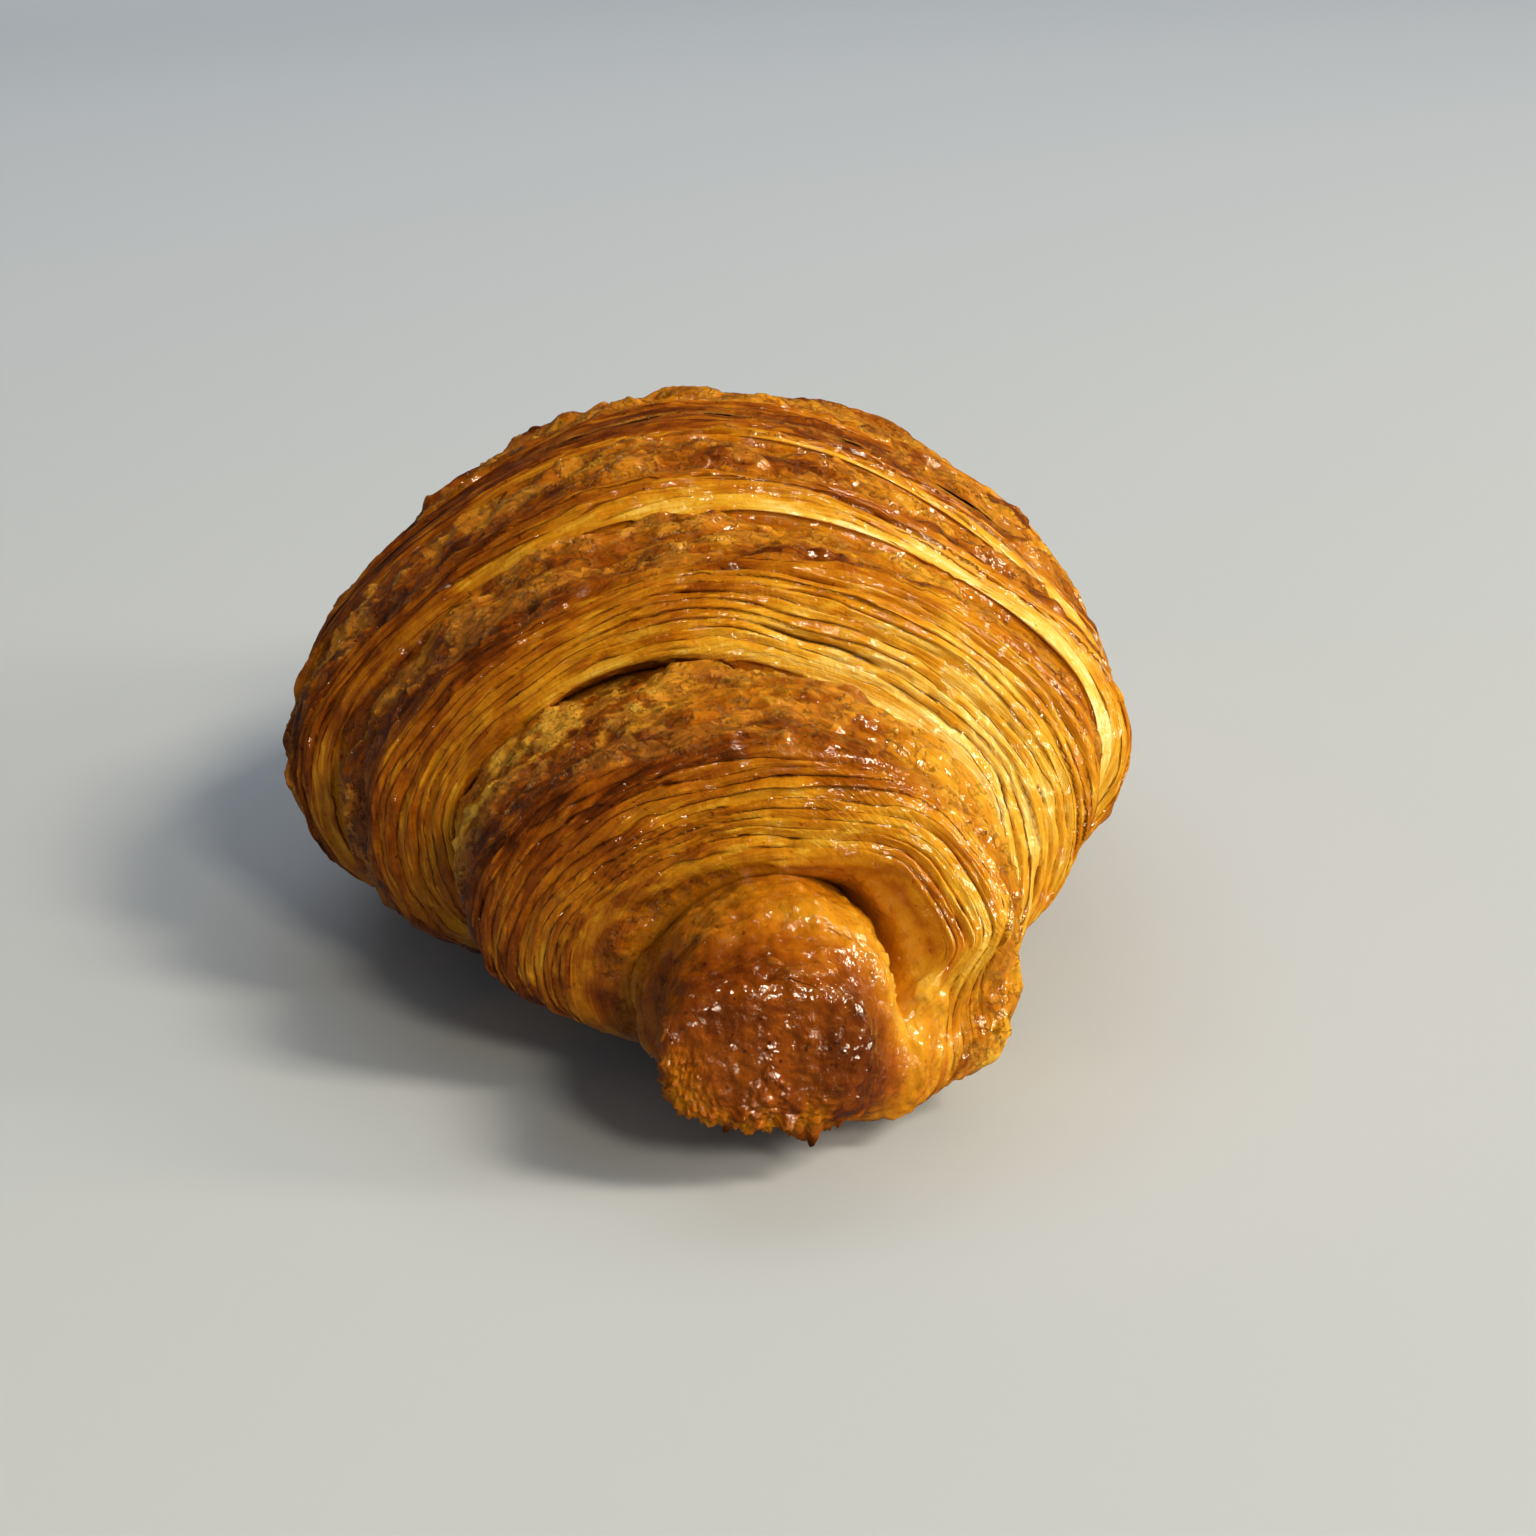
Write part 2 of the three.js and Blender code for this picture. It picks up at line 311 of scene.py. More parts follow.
# Fine relief on the rolled shape: layers, crust and flakes
detail = {
    "layerPitch": 1.0,  # mm from one dough layer to the next on a cut face
    "layerStandOut": 0.24,  # mm
    "layerTilt": 0.75,  # mm across one layer, at most
    "fineFray": 0.05,  # mm
    "coarseFray": 0.13,  # mm
    "fleckHeight": 0.12,  # mm
    "seamDepth": 0.34,  # mm
    "slitDepth": 0.6,  # mm
    "sagDepth": 0.35,  # mm
    "lumpHeight": 0.75,  # mm
    "noseLumpHeight": 0.3,  # mm
    "wrinkleHeight": 0.45,  # mm
    "flakeHeight": 0.22,  # mm
    "blisterHeight": 0.5,  # mm for a bubble of 1 mm radius
    "pimpleHeight": 0.07,  # mm
    "paperCurl": 0.25,  # mm
    "tornHeight": 1.1,  # mm
    "streakShear": 7.6,  # keeps the ends of neighbouring streaks from lining up
}


def addDetail(side, winding, across, points):
    seed = 11 if side > 0 else 503
    normals = gridNormals(points)
    rimRow = int(np.searchsorted(rowPlaces(), rimPlace))
    shoulderRow = int(np.searchsorted(rowPlaces(), shoulderPlace))
    acrossMm = runningLength(points, 0)
    aroundMm = np.repeat(runningLength(points, 1)[shoulderRow:shoulderRow + 1], len(points), axis=0)
    faceMm = acrossMm - acrossMm[rimRow]
    turn = winding + across
    sine = np.sin(2 * math.pi * (winding + 0.25))
    cosine = np.cos(2 * math.pi * (winding + 0.25))
    faceOn = hump(winding, 0.42, 0.6, turns - 0.4, turns - 0.1)
    faceStart = lerp(0.42, 0.08, smoothstep(winding, 0.7, 0.8))
    faceEnd = smoothstep(across + 0.05 * fractal(points, 3, 9, seed + 90, 3), 0.5, 0.6)
    cutFace = faceOn * smoothstep(across, faceStart, faceStart + 0.04) * (1 - faceEnd)
    inGap = np.maximum(stepHeight(winding) * (1 - smoothstep(across, 0.02, 0.1)),
                       stepHeight(winding + 1) * smoothstep(across, 0.94, 0.99))
    crust = (1 - cutFace) * (1 - inGap)
    nose = 1 - smoothstep(turn, 1.0, 1.25)
    onTray = 1 - smoothstep(points[..., 2], 0.2, 2.5)

    # the layers of the cut face, each with its own stand-out, and the seams between them
    wander = (0.9 * noise(aroundMm / 28, faceMm / 7, seed)
              + 0.4 * noise(aroundMm / 9, faceMm / 2.6, seed + 1)
              + 0.16 * noise(aroundMm / 2.8, faceMm / 1.1, seed + 17))
    layer = faceMm / detail["layerPitch"] + wander
    layerId = np.floor(layer)
    within = layer - layerId
    seamId = np.round(layer)
    fromSeam = np.abs(layer - seamId) * detail["layerPitch"]
    standOut = rowNoise(aroundMm / 13, layerId, seed + 2) + 0.5 * rowNoise(aroundMm / 3.5, layerId, seed + 3)
    shingle = (within - 0.5) * rowNoise(aroundMm / 24, layerId, seed + 4)
    seamOpen = smoothstep(rowNoise(aroundMm / 7, seamId, seed + 5), -0.5, 0.4)
    slitOpen = smoothstep(rowNoise(aroundMm / 3.4, seamId, seed + 6), 0.74, 0.88)
    firstSlit = hump(winding, 1.915, 1.94, 1.98, 2.0) * (seamId == 3)
    seam = bell(fromSeam, 0.11) * (0.15 + 0.85 * seamOpen)
    slit = np.maximum(slitOpen * np.exp(-(fromSeam / 0.12) ** 4),
                      1.2 * firstSlit * np.exp(-(fromSeam / 0.2) ** 4))
    fray = (detail["fineFray"] * noise(aroundMm / 1.3 + 1.3 * faceMm, faceMm / 0.3, seed + 7)
            + detail["coarseFray"] * noise(aroundMm / 3.6 + 0.55 * faceMm, faceMm / 0.7, seed + 18))
    fleck = smoothstep(noise(aroundMm / 2.2 + 0.8 * faceMm, faceMm / 0.5, seed + 8), 0.5, 0.7)
    smoothRim = smoothstep(faceMm + 0.9 * noise(aroundMm / 5, np.zeros_like(faceMm), seed + 9), 0.5, 2.2)
    sag = detail["sagDepth"] * fractal(points, 9, 12, seed + 70, 2)
    layered = (detail["layerStandOut"] * standOut + detail["layerTilt"] * shingle
               + fray + detail["fleckHeight"] * fleck
               - detail["seamDepth"] * seam - detail["slitDepth"] * slit) * (0.12 + 0.88 * smoothRim)
    layered = layered + sag - firstSlit * np.exp(-(fromSeam / 0.2) ** 4) * (1 - smoothRim)

    # the crust: soft lumps, wrinkles along the sheet, islands of raised skin and bubbles
    lumps = detail["lumpHeight"] * fractal(points, 4, 7.5, seed + 20, 3, 0.48)
    lumps = lumps * (1 + 0.5 * smoothstep(turn, 2.4, 3) - 0.5 * nose)
    ridges = 1 - np.abs(fractal(points, 2.0, 5.5, seed + 24, 2, 0.5))
    wrinkles = detail["wrinkleHeight"] * (ridges ** 2 - 0.5) * (1 - 0.7 * nose)
    peelField = fractal(points, 3.2, 5.5, seed + 30, 4, 0.55)
    peelBias = 0.1 + 0.2 * nose + 0.5 * smoothstep(np.abs(across - 0.76), 0.1, 0.22)
    flake = smoothstep(peelField - peelBias, 0, 0.07)
    flakeEdge = bell(peelField - peelBias - 0.04, 0.05)
    paper = (hump(winding, 1.02, 1.08, 1.22, 1.32) * smoothstep(across, 0.66, 0.76)
             * smoothstep(fractal(points, 2.6, 3.4, seed + 80, 4, 0.6), -0.1, 0.15))
    bubbles = blisters(aroundMm / 2.3, acrossMm / 2.1, seed + 40, 0.3) * (1 - nose)
    pimples = detail["pimpleHeight"] * fractal(points, 0.75, 0.9, seed + 44, 2) * (1 + nose)
    noseLumps = nose * detail["noseLumpHeight"] * fractal(points, 3.4, 3.4, seed + 48, 3, 0.5)
    skin = (lumps + wrinkles + noseLumps + detail["flakeHeight"] * (flake + 0.7 * flakeEdge)
            + detail["blisterHeight"] * bubbles * (1 - flake) + pimples
            + detail["paperCurl"] * paper * fractal(points, 0.9, 1.1, seed + 84, 2))

    # the torn skin low on each point
    tornPlace = hump(turn, -0.3, -0.1, 0.35, 0.6) * smoothstep(-sine - 0.6 * cosine, 0.1, 0.7)
    torn = tornPlace * smoothstep(fractal(points, 2.6, 2.6, seed + 50, 3), -0.4, 0.1)
    raggedFoot = (1 - smoothstep(turn, 1.2, 1.6)) * smoothstep(-sine, 0.8, 0.97)
    tornShape = np.abs(fractal(points, 1.3, 1.3, seed + 53, 4, 0.6))
    tornRelief = detail["tornHeight"] * (torn * (tornShape - 0.35) + 0.4 * raggedFoot * tornShape)

    relief = cutFace * layered + crust * skin + tornRelief
    relief = relief * (1 - 0.85 * onTray) * lerp(0.25, 1, smoothstep(turns - turn, 0, 0.12))
    moved = points + normals * relief[..., None]
    moved[..., 2] = np.maximum(moved[..., 2], 0)

    # how far each spot is baked, 0 for pale dough and 1 for dark crust, with painted light and shade mixed
    # in: paler on the lit right and top, darker on the shaded left
    patchy = fractal(points, 7, 12, seed + 60, 4)
    facePart = (across - rimPlace) / (shoulderPlace - rimPlace)
    # share of the side that faces the lamps, used to paint light (paler) and shade (darker) into the
    # browning
    lit = smoothstep(cosine + 0.6 * sine, -0.4, 0.7)
    # cut faces: browner towards the shoulder; the rim paler, more so where lit, the shaded side darker and
    # the right side paler are painted light and shade
    faceBakeAndLight = (0.43 + 0.24 * smoothstep(facePart, 0.2, 1.1) + 0.05 * standOut
                - (0.04 + 0.12 * lit) * (1 - smoothRim) * smoothstep(winding, 0.95, 1.1)
                + 0.11 * rowNoise(aroundMm / 5, layerId, seed + 62) + 0.06 * patchy - 0.12 * fleck
                - 0.07 * hump(winding, 2.55, 2.8, 3.0, 3.15) + 0.2 * (1 - lit)
                + 0.3 * hump(winding, 0.62, 0.7, 0.84, 0.96) * (1 - smoothstep(facePart, 0.15, 0.5))
                + 0.07 * hump(winding, 0.9, 1.05, 1.7, 1.8)
                - 0.12 * smoothstep(cosine, 0.3, 1)
                + 0.08 * smoothstep(winding, 2.4, 2.6) + 0.06 * smoothstep(winding, 3.3, 3.7))
    # painted light: the crust paler on the right, where the lamps fall
    sunny = smoothstep(cosine, 0.2, 0.9) * (0.2 - 0.18 * smoothstep(turn, 1.8, 2.2))
    # crust: the shaded side darker is painted shade, the paler flake edges partly a painted highlight; the
    # rest is browning
    crustBakeAndLight = (0.64 + 0.12 * (1 - lit) - sunny + 0.09 * patchy
                 + 0.14 * bell(across - 0.61, 0.07) * (1 - nose) - 0.1 * (ridges - 0.7)
                 - 0.08 * flake - 0.08 * flakeEdge)
    # the point: paler on top, darker low down; paler beside the pocket, partly the sheet's paler edge and
    # partly a painted highlight for the glints there
    besidePocket = hump(turn, 0.3, 0.65, 1.1, 1.4) * besideAngle(winding, 0.76, 0.14)
    noseBakeAndHighlight = (0.77 + 0.1 * patchy - 0.17 * smoothstep(sine, 0.2, 0.95) * smoothstep(turn, 0.1, 0.7)
                + 0.06 * smoothstep(0.5 - turn, 0, 0.5) - 0.42 * besidePocket)
    palePoint = 0.25 * hump(winding, 0.4, 0.5, 0.7, 0.8) * (1 - smoothstep(across, 0.5, 0.6))
    crustBakeAndLight = lerp(crustBakeAndLight - palePoint, noseBakeAndHighlight - 0.04 * flake, nose)
    bakeAndPaintedLight = cutFace * faceBakeAndLight + crust * crustBakeAndLight + inGap * 0.6
    bakeAndPaintedLight = lerp(bakeAndPaintedLight, 0.68 + 0.12 * patchy, onTray)
    bakeAndPaintedLight = lerp(bakeAndPaintedLight, 0.5 + 0.5 * (tornShape - 0.35), 0.6 * torn)
    bakeAndPaintedLight = lerp(bakeAndPaintedLight, 0.34, 0.8 * paper * crust)
    # painted shade deep in the open cracks, where the next turn lifts clear
    crackOpen = hump(winding, 0.8, 0.92, 1.3, 1.6) + hump(winding, 1.96, 2.04, 2.34, 2.5)
    nextCrackOpen = hump(winding, -0.2, -0.08, 0.3, 0.6) + hump(winding, 0.96, 1.04, 1.34, 1.5)
    deepGap = np.maximum(crackOpen * (1 - smoothstep(across, 0.0, 0.05)),
                         nextCrackOpen * smoothstep(across, 0.95, 1.0))
    # lifted skin a little paler, and its edges paler still as a painted highlight
    liftedSkinAndEdgeHighlight = (0.3 * flake + 0.7 * flakeEdge) * (1 - 0.6 * nose)
    attributes = {
        "bakeAndPaintedLight": np.clip(bakeAndPaintedLight, 0, 1),
        "flake": np.clip(crust * np.maximum(liftedSkinAndEdgeHighlight, 0.9 * paper), 0, 1),
        # painted shade in the slits of the cut face and deep in the open cracks
        "creviceShade": np.clip(cutFace * slit * np.maximum(smoothRim, firstSlit) + deepGap * 0.7, 0, 1),
        "glaze": np.clip(crust * (1 - 0.3 * flake) * (1 - onTray) * (1 - 0.8 * torn) * (1 - 0.9 * paper)
                         + 0.55 * cutFace + 0.8 * inGap, 0, 1),
        "peel": crust * (1 - 0.85 * nose) * (1 - onTray),
        "layer": layer,
        "layerLines": cutFace * smoothRim,
        "streaks": 1 - nose,
        "aroundMm": aroundMm + detail["streakShear"] * acrossMm,
        "acrossMm": acrossMm,
        "sheetPlace": 3 * winding + (40 if side < 0 else 0),
    }
    return moved, attributes


def halfGrid(side):
    places = rowPlaces()
    windings = columnPlaces()
    start = np.maximum(0, -roll["capTurns"] - windings)
    end = np.maximum(start, np.minimum(1, turns - windings))
    across = start[None, :] + (end - start)[None, :] * places[:, None]
    winding = np.repeat(windings[None, :], len(places), axis=0)
    points = rollSurface(side, winding, across)
    for _ in range(roll["rounding"]):
        points[1:-1] = 0.25 * points[:-2] + 0.5 * points[1:-1] + 0.25 * points[2:]
    return winding, across, points


def buildCroissant():
    allPoints, allFaces, allAttributes = [], [], {}
    offset = 0
    for side in (1, -1):
        winding, across, points = halfGrid(side)
        if side < 0:
            points[..., 0] *= -1
        moved, attributes = addDetail(side, winding, across, points)
        if side < 0:
            moved[..., 0] *= -1
        rows, columns = winding.shape
        index = offset + np.arange(rows * columns).reshape(rows, columns)
        corners = [index[:-1, :-1], index[1:, :-1], index[1:, 1:], index[:-1, 1:]]
        if side < 0:
            corners.reverse()
        allFaces.append(np.stack(corners, axis=-1).reshape(-1, 4))
        allPoints.append(moved.reshape(-1, 3))
        for name, values in attributes.items():
            allAttributes.setdefault(name, []).append(values.reshape(-1))
        offset += rows * columns
    points = np.concatenate(allPoints)
    faces = np.concatenate(allFaces)
    attributes = {name: np.concatenate(values) for name, values in allAttributes.items()}
    return points, faces, attributes


def meshObject(name, points, faces, attributes, material):
    mesh = bpy.data.meshes.new(name)
    mesh.vertices.add(len(points))
    mesh.vertices.foreach_set("co", (points * mm).astype(np.float32).ravel())
    mesh.loops.add(faces.size)
    mesh.loops.foreach_set("vertex_index", faces.astype(np.int32).ravel())
    mesh.polygons.add(len(faces))
    mesh.polygons.foreach_set("loop_start", np.arange(0, faces.size, 4, dtype=np.int32))
    mesh.polygons.foreach_set("loop_total", np.full(len(faces), 4, dtype=np.int32))
    mesh.polygons.foreach_set("use_smooth", np.ones(len(faces), dtype=bool))
    mesh.update(calc_edges=True)
    mesh.validate()
    for key, values in attributes.items():
        layer = mesh.attributes.new(key, "FLOAT", "POINT")
        layer.data.foreach_set("value", values.astype(np.float32))
    mesh.materials.append(material)
    thing = bpy.data.objects.new(name, mesh)
    scene.collection.objects.link(thing)
    return thing


def addNode(tree, kind, settings=None, links=None):
    node = tree.nodes.new(kind)
    for key, value in (settings or {}).items():
        if isinstance(key, str) and hasattr(node, key):
            setattr(node, key, value)
        else:
            node.inputs[key].default_value = value
    for key, source in (links or {}).items():
        tree.links.new(source, node.inputs[key])
    return node


def emptyMaterial(name):
    material = bpy.data.materials.new(name)
    material.use_nodes = True
    material.node_tree.nodes.clear()
    return material, material.node_tree


# Laminated butter dough, rolled, brushed with egg and baked: glossy amber-brown skin, paler and duller
# layers where the sheet was cut, painted shade in the thin seams between the layers and in slits and cracks
dough = {
    "colours": [  # from pale inner dough to dark crust
        (0.0, "#F4DC98"), (0.18, "#EBC55E"), (0.34, "#DEA62B"), (0.5, "#CB8613"),
        (0.64, "#B2680A"), (0.78, "#914805"), (0.9, "#6A2D03"), (1.0, "#421A02"),
    ],
    # pale lifted skin; the flake edges also take it as a painted highlight
    "peeledSkin": "#E0A748",
    "peeledShare": 0.4,
    # painted shade in slits, cracks and the seams between layers
    "creviceShadeColour": "#5E2A04",
    "creviceShadeShare": 0.7,
    "streaksPerMm": (0.16, 3.2, 1.0),  # 6 mm long and 0.3 mm wide, as the layers show through the skin
    "seamsPerMm": (0.16, 5.3, 1.0),  # fade in and out every 6 mm, each seam by itself
    "mottlesPerMm": 0.4,  # 2 to 3 mm, from uneven egg wash
    "specksPerMm": 1.3,  # toasted spots of about 0.4 mm
    "islandsPerMm": 0.3,  # ragged islands of lifted skin, 2 to 4 mm
    "poolsPerMm": 1.7,  # egg wash run together in pools of about 0.6 mm
    "grainPerMm": 1.7,  # skin grain of 0.6 mm and finer
    "flakesPerMm": 1.15,  # flat flakes of about 0.9 mm
    "raggedPerMm": 2.2,  # the flakes' outlines
    "flakeTilt": 0.35,  # slope, at most
    "islandDepth": 0.2,  # mm
    "layerDepth": 0.25,  # mm
    "grainDepth": 0.16,  # mm
    "poolDepth": 0.13,  # mm
    "cutRoughness": 0.6,
    "crustRoughness": 0.3,
    "crustIor": 1.38,
    "crustTint": "#FFC860",
    "glazeRoughness": 0.08,
    "glazeIor": 1.7,
    "glowShare": 0.08,  # light that passes through the outermost dough
    "glowDepth": 1.6,  # mm
}


def bakedDough():
    material, tree = emptyMaterial("bakedButterDough")
    solid = addNode(tree, "ShaderNodeTexCoord").outputs["Object"]
    read = {}
    for name in ("bakeAndPaintedLight", "flake", "creviceShade", "glaze", "peel", "streaks", "layer", "layerLines",
                 "aroundMm", "acrossMm", "sheetPlace"):
        read[name] = addNode(tree, "ShaderNodeAttribute", {"attribute_name": name}).outputs["Fac"]

    sheet = addNode(tree, "ShaderNodeCombineXYZ", {},
                    {"X": read["aroundMm"], "Y": read["acrossMm"], "Z": read["sheetPlace"]})
    streakPlace = addNode(tree, "ShaderNodeMapping", {"Scale": dough["streaksPerMm"]},
                          {"Vector": sheet.outputs[0]})
    streaks = addNode(tree, "ShaderNodeTexNoise", {"Scale": 1.0, "Detail": 4.0, "Roughness": 0.6},
                      {"Vector": streakPlace.outputs[0]})

    # thin lines where two layers meet: grooves in the relief and painted shade in the colour
    seamId = addNode(tree, "ShaderNodeMath", {"operation": "ROUND"}, {0: read["layer"]})
    offSeam = addNode(tree, "ShaderNodeMath", {"operation": "SUBTRACT"},
                      {0: read["layer"], 1: seamId.outputs[0]})
    fromSeam = addNode(tree, "ShaderNodeMath", {"operation": "ABSOLUTE"}, {0: offSeam.outputs[0]})
    seamPlace = addNode(tree, "ShaderNodeCombineXYZ", {},
                        {"X": read["aroundMm"], "Y": seamId.outputs[0], "Z": read["sheetPlace"]})
    seamStretch = addNode(tree, "ShaderNodeMapping", {"Scale": dough["seamsPerMm"]},
                          {"Vector": seamPlace.outputs[0]})
    seamNoise = addNode(tree, "ShaderNodeTexNoise", {"Scale": 1.0, "Detail": 3.0, "Roughness": 0.6},
                        {"Vector": seamStretch.outputs[0]})
    seamWidth = addNode(tree, "ShaderNodeMapRange",
                        {"From Min": 0.42, "From Max": 0.78, "To Min": 0.01, "To Max": 0.2},
                        {"Value": seamNoise.outputs["Fac"]})
    seamLine = addNode(tree, "ShaderNodeMapRange",
                       {"interpolation_type": "SMOOTHSTEP", "From Min": 0.0, "To Min": 1.0, "To Max": 0.0},
                       {"Value": fromSeam.outputs[0], "From Max": seamWidth.outputs[0]})
    seam = addNode(tree, "ShaderNodeMath", {"operation": "MULTIPLY"},
                   {0: seamLine.outputs[0], 1: read["layerLines"]})

    # what shifts the browning, which carries painted light and shade from the attribute: mottling, streaks,
    # lifted skin a little paler, and dark specks
    mottle = addNode(tree, "ShaderNodeTexNoise",
                     {"Scale": dough["mottlesPerMm"] / mm, "Detail": 5.0, "Roughness": 0.62},
                     {"Vector": solid})
    mottleShift = addNode(tree, "ShaderNodeMath", {"operation": "MULTIPLY_ADD", 1: 0.4, 2: -0.2},
                          {0: mottle.outputs["Fac"]})
    streakCentred = addNode(tree, "ShaderNodeMath", {"operation": "MULTIPLY_ADD", 1: 0.4, 2: -0.2},
                            {0: streaks.outputs["Fac"]})
    streakShift = addNode(tree, "ShaderNodeMath", {"operation": "MULTIPLY"},
                          {0: streakCentred.outputs[0], 1: read["streaks"]})
    lifted = addNode(tree, "ShaderNodeTexNoise",
                     {"Scale": dough["islandsPerMm"] / mm, "Detail": 8.0, "Roughness": 0.64},
                     {"Vector": solid})
    island = addNode(tree, "ShaderNodeMapRange",
                     {"From Min": 0.5, "From Max": 0.53, "To Min": 0.0, "To Max": 1.0},
                     {"Value": lifted.outputs["Fac"]})
    islandPaler = addNode(tree, "ShaderNodeMath", {"operation": "MULTIPLY_ADD", 1: -0.08, 2: 0.03},
                          {0: island.outputs[0]})
    islandShift = addNode(tree, "ShaderNodeMath", {"operation": "MULTIPLY"},
                          {0: islandPaler.outputs[0], 1: read["peel"]})
    specks = addNode(tree, "ShaderNodeTexNoise",
                     {"Scale": dough["specksPerMm"] / mm, "Detail": 1.0, "Roughness": 0.5},
                     {"Vector": solid})
    speckShift = addNode(tree, "ShaderNodeMapRange",
                         {"From Min": 0.71, "From Max": 0.76, "To Min": 0.0, "To Max": 0.16},
                         {"Value": specks.outputs["Fac"]})
    browningAndLight = read["bakeAndPaintedLight"]
    for shift in (mottleShift, streakShift, islandShift, speckShift):
        total = addNode(tree, "ShaderNodeMath", {"operation": "ADD"}, {0: browningAndLight, 1: shift.outputs[0]})
        browningAndLight = total.outputs[0]

    # colours for the browning, with the painted light and shade in it
    ramp = addNode(tree, "ShaderNodeValToRGB", {}, {"Fac": browningAndLight})
    stops = dough["colours"]
    while len(ramp.color_ramp.elements) < len(stops):
        ramp.color_ramp.elements.new(0.5)
    for element, (place, colour) in zip(ramp.color_ramp.elements, stops):
        element.position = place
        element.color = linearColour(colour)
    # lifted skin paler, its edges as a painted highlight
    peeledShare = addNode(tree, "ShaderNodeMath", {"operation": "MULTIPLY", 1: dough["peeledShare"]},
                          {0: read["flake"]})
    peeled = addNode(tree, "ShaderNodeMix", {"data_type": "RGBA", 7: linearColour(dough["peeledSkin"])},
                     {0: peeledShare.outputs[0], 6: ramp.outputs["Color"]})
    # painted shade: the darker of the crevices and the seams
    creviceAndSeamShade = addNode(tree, "ShaderNodeMath", {"operation": "MAXIMUM"},
                      {0: read["creviceShade"], 1: seam.outputs[0]})
    creviceShadeShare = addNode(tree, "ShaderNodeMath", {"operation": "MULTIPLY", 1: dough["creviceShadeShare"]},
                           {0: creviceAndSeamShade.outputs[0]})
    colour = addNode(tree, "ShaderNodeMix", {"data_type": "RGBA", 7: linearColour(dough["creviceShadeColour"])},
                     {0: creviceShadeShare.outputs[0], 6: peeled.outputs[2]})
    rough = addNode(tree, "ShaderNodeMapRange",
                    {"From Min": 0.0, "From Max": 1.0,
                     "To Min": dough["cutRoughness"], "To Max": dough["crustRoughness"]},
                    {"Value": read["glaze"]})

    # fine relief: lifted skin under streaks and grain, or under the glaze
    islandHeight = addNode(tree, "ShaderNodeMath", {"operation": "MULTIPLY"},
                           {0: island.outputs[0], 1: read["peel"]})
    islandBump = addNode(tree, "ShaderNodeBump", {"Strength": 1.0, "Distance": dough["islandDepth"] * mm},
                         {"Height": islandHeight.outputs[0]})
    streakHeight = addNode(tree, "ShaderNodeMath", {"operation": "MULTIPLY"},
                           {0: streaks.outputs["Fac"], 1: read["streaks"]})
    layerHeight = addNode(tree, "ShaderNodeMath", {"operation": "SUBTRACT"},
                          {0: streakHeight.outputs[0], 1: seam.outputs[0]})
    layerBump = addNode(tree, "ShaderNodeBump", {"Strength": 0.8, "Distance": dough["layerDepth"] * mm},
                        {"Height": layerHeight.outputs[0], "Normal": islandBump.outputs[0]})
    grain = addNode(tree, "ShaderNodeTexNoise",
                    {"Scale": dough["grainPerMm"] / mm, "Detail": 3.0, "Roughness": 0.6}, {"Vector": solid})
    grainBump = addNode(tree, "ShaderNodeBump", {"Strength": 0.8, "Distance": dough["grainDepth"] * mm},
                        {"Height": grain.outputs["Fac"], "Normal": layerBump.outputs[0]})
    pools = addNode(tree, "ShaderNodeTexNoise",
                    {"Scale": dough["poolsPerMm"] / mm, "Detail": 2.0, "Roughness": 0.5}, {"Vector": solid})
    poolBump = addNode(tree, "ShaderNodeBump", {"Strength": 1.0, "Distance": dough["poolDepth"] * mm},
                       {"Height": pools.outputs["Fac"], "Normal": islandBump.outputs[0]})

    # flat flakes with ragged outlines, each at its own tilt
    raggedBy = addNode(tree, "ShaderNodeTexNoise", {"Scale": dough["raggedPerMm"] / mm, "Detail": 2.0},
                       {"Vector": solid})
    ragged = addNode(tree, "ShaderNodeVectorMath", {"operation": "MULTIPLY_ADD", 1: (0.9 * mm,) * 3},
                     {0: raggedBy.outputs["Color"], 2: solid})
    flakes = addNode(tree, "ShaderNodeTexVoronoi", {"Scale": dough["flakesPerMm"] / mm},
                     {"Vector": ragged.outputs[0]})
    most = dough["flakeTilt"]
    tilt = addNode(tree, "ShaderNodeVectorMath",
                   {"operation": "MULTIPLY_ADD", 1: (2 * most,) * 3, 2: (-most,) * 3},
                   {0: flakes.outputs["Color"]})
    skinTilt = addNode(tree, "ShaderNodeVectorMath", {"operation": "SCALE"},
                       {0: tilt.outputs[0], "Scale": read["peel"]})
    skinTilted = addNode(tree, "ShaderNodeVectorMath", {"operation": "ADD"},
                         {0: grainBump.outputs[0], 1: skinTilt.outputs[0]})
    skinNormal = addNode(tree, "ShaderNodeVectorMath", {"operation": "NORMALIZE"},
                         {0: skinTilted.outputs[0]})
    glazeTilted = addNode(tree, "ShaderNodeVectorMath", {"operation": "ADD"},
                          {0: poolBump.outputs[0], 1: tilt.outputs[0]})
    glazeNormal = addNode(tree, "ShaderNodeVectorMath", {"operation": "NORMALIZE"},
                          {0: glazeTilted.outputs[0]})

    surface = addNode(tree, "ShaderNodeBsdfPrincipled", {
        "IOR": dough["crustIor"], "Specular Tint": linearColour(dough["crustTint"]),
        "Coat Roughness": dough["glazeRoughness"], "Coat IOR": dough["glazeIor"],
        "Subsurface Weight": dough["glowShare"], "Subsurface Radius": (1.0, 0.4, 0.12),
        "Subsurface Scale": dough["glowDepth"] * mm,
    }, {"Base Color": colour.outputs[2], "Roughness": rough.outputs[0], "Coat Weight": read["glaze"],
        "Normal": skinNormal.outputs[0], "Coat Normal": glazeNormal.outputs[0]})
    addNode(tree, "ShaderNodeOutputMaterial", {}, {"Surface": surface.outputs[0]})
    return material


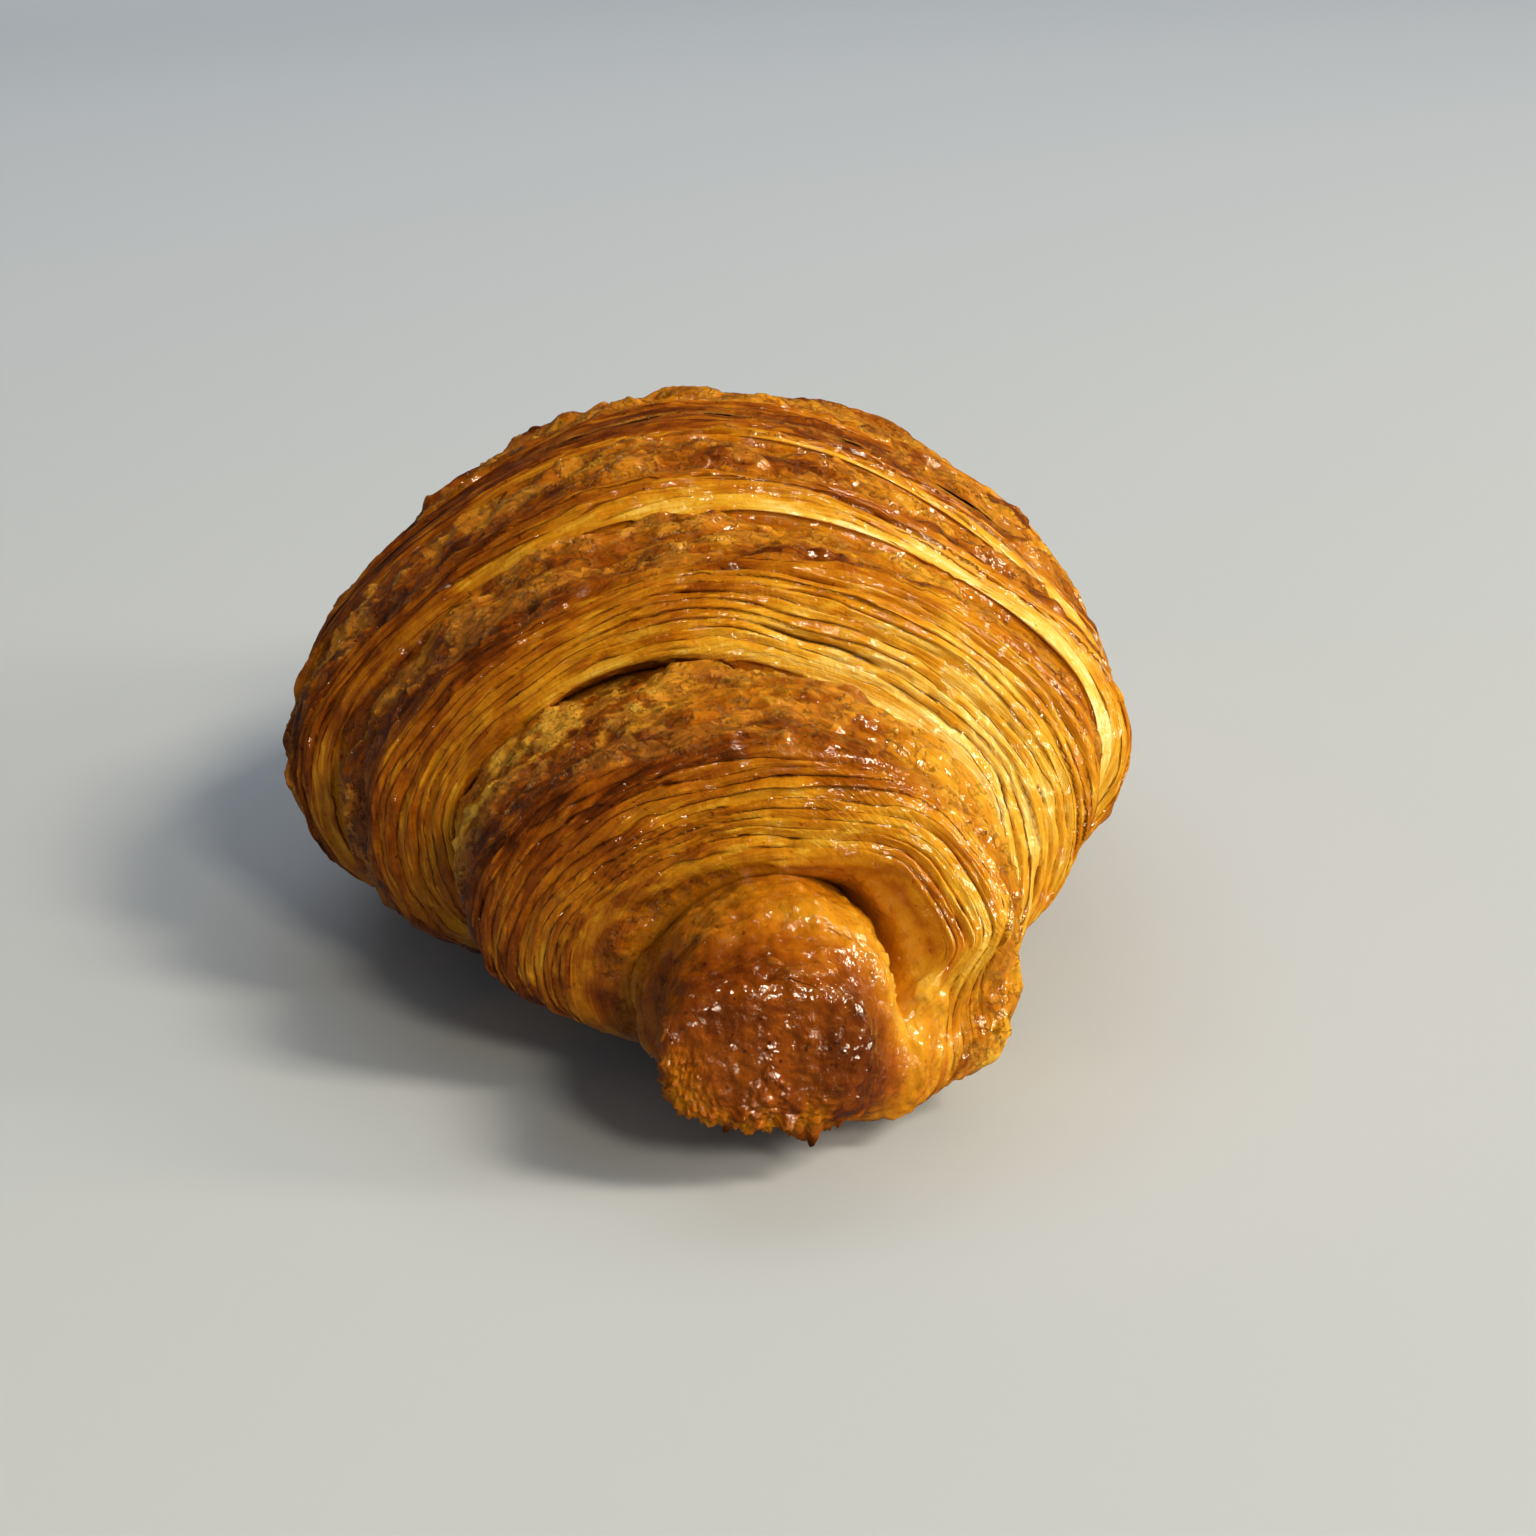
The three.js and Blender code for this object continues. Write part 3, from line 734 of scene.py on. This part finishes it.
studio = {
    "tableColour": "#BEC6CE",
    "tableRadius": 3.0,  # m
    "flatShare": 0.45,  # of the radius, before the table starts to rise
    "rimHeight": 1.2,  # m, so that the table runs up into a backdrop
    "skyColour": "#D4D5D4",
    "skyAtHorizon": 0.43,
    "skyOverhead": 0.16,
    "skyInReflections": 0.12,  # so that the crust keeps its deep colour between its highlights
    "lights": [  # name, place, aim and size in m, power in W, colour, whether it shows in reflections
        ("windowLight", (0.77, 1.65, 1.32), (0, 0, 0.03), (1.7, 1.9), 9.0, "#F4F8FF", False),
        ("smallLamp", (0.9, 1.35, 1.4), (0, 0, 0.03), (0.42, 0.5), 31.0, "#FFEFD2", True),
        ("frontLamp", (1.6, 0.7, 1.0), (0, 0, 0.03), (0.28, 0.3), 14.0, "#FFEFD2", True),
        ("sideLamp", (0.3, 0.9, 0.32), (0, 0, 0.03), (0.16, 0.26), 3.6, "#FFEFD2", True),
        ("backdropLight", (-1.3, 0, 1.7), (-2.2, 0, 0), (1.6, 2.4), 18.0, "#FBFCFF", False),
    ],
}


def paintedTable():
    # Matt emulsion paint, rolled on: pale grey, no shine
    material, tree = emptyMaterial("mattGreyPaint")
    surface = addNode(tree, "ShaderNodeBsdfPrincipled", {
        "Base Color": linearColour(studio["tableColour"]), "Roughness": 0.9, "IOR": 1.45})
    addNode(tree, "ShaderNodeOutputMaterial", {}, {"Surface": surface.outputs[0]})
    return material


def tableAndBackdrop(material):  # a round table top that curves up all round
    rings, spokes = 40, 96
    flat = studio["flatShare"] * studio["tableRadius"]
    points, faces = [], []
    for ring in range(rings + 1):
        t = ring / rings
        radius = studio["tableRadius"] * t
        rise = max(0.0, (radius - flat) / (studio["tableRadius"] - flat))
        lift = studio["rimHeight"] * rise ** 2.4
        for spoke in range(spokes):
            angle = 2 * math.pi * spoke / spokes
            points.append((radius * math.cos(angle), radius * math.sin(angle), lift + cadLow[2]))
    for ring in range(rings):
        for spoke in range(spokes):
            following = (spoke + 1) % spokes
            a, b = ring * spokes + spoke, ring * spokes + following
            faces.append((a, a + spokes, b + spokes, b))
    mesh = bpy.data.meshes.new("tableAndBackdrop")
    mesh.from_pydata(points, [], faces)
    mesh.polygons.foreach_set("use_smooth", [True] * len(mesh.polygons))
    mesh.materials.append(material)
    table = bpy.data.objects.new("tableAndBackdrop", mesh)
    scene.collection.objects.link(table)
    table.visible_glossy = False


def areaLight(name, place, target, size, power, colour, inReflections):
    light = bpy.data.lights.new(name, "AREA")
    light.shape = "RECTANGLE"
    light.size, light.size_y = size
    light.energy = power
    light.color = linearColour(colour)[:3]
    lamp = bpy.data.objects.new(name, light)
    lamp.location = place
    lamp.visible_camera = False
    lamp.visible_glossy = inReflections
    lamp.rotation_euler = (Vector(target) - Vector(place)).to_track_quat("-Z", "Y").to_euler()
    scene.collection.objects.link(lamp)


def addLights():
    world = bpy.data.worlds.new("paleRoom")
    world.use_nodes = True
    tree = world.node_tree
    tree.nodes.clear()
    direction = addNode(tree, "ShaderNodeTexCoord")
    parts = addNode(tree, "ShaderNodeSeparateXYZ", {}, {0: direction.outputs["Generated"]})
    strength = addNode(tree, "ShaderNodeMapRange", {
        "From Min": 0.1, "From Max": 0.7, "To Min": studio["skyAtHorizon"], "To Max": studio["skyOverhead"],
    }, {"Value": parts.outputs["Z"]})
    ray = addNode(tree, "ShaderNodeLightPath")
    dimming = addNode(tree, "ShaderNodeMapRange", {"To Min": 1.0, "To Max": studio["skyInReflections"]},
                      {"Value": ray.outputs["Is Glossy Ray"]})
    dimmed = addNode(tree, "ShaderNodeMath", {"operation": "MULTIPLY"},
                     {0: strength.outputs[0], 1: dimming.outputs[0]})
    background = addNode(tree, "ShaderNodeBackground", {"Color": linearColour(studio["skyColour"])},
                         {"Strength": dimmed.outputs[0]})
    addNode(tree, "ShaderNodeOutputWorld", {}, {"Surface": background.outputs[0]})
    scene.world = world
    for light in studio["lights"]:
        areaLight(*light)


camera = {
    "elevation": 17.0,  # degrees above the table
    "distance": 320 * mm,  # from the middle of the croissant
    "lens": 67.5,  # mm on a 36 mm wide sensor
    "roll": -3.0,  # degrees
    "aimHeight": 25 * mm,
    "lookAt": (3.4 * mm, 7.0 * mm, 14.0 * mm),
}


def addCamera():  # in front of the +X point, a little above it
    lens = bpy.data.cameras.new("camera")
    lens.lens = camera["lens"]
    lens.sensor_width = 36.0
    lens.clip_start = 0.01
    eye = bpy.data.objects.new("camera", lens)
    tilt = math.radians(camera["elevation"])
    place = Vector((camera["distance"] * math.cos(tilt), 0,
                    camera["aimHeight"] + camera["distance"] * math.sin(tilt)))
    eye.location = place
    facing = (Vector(camera["lookAt"]) - place).to_track_quat("-Z", "Y")
    eye.rotation_euler = (facing @ Euler((0, 0, math.radians(camera["roll"]))).to_quaternion()).to_euler()
    scene.collection.objects.link(eye)
    scene.camera = eye


addCamera()
print("camera set")
addLights()
tableAndBackdrop(paintedTable())
print("table, backdrop and lights set")
croissantPoints, croissantFaces, croissantAttributes = buildCroissant()
print("croissant surface worked out:", len(croissantFaces), "faces")
croissant = meshObject("bakedCroissant", croissantPoints, croissantFaces, croissantAttributes, bakedDough())
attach(croissant, "root")
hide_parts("croissant")
print("croissant made")
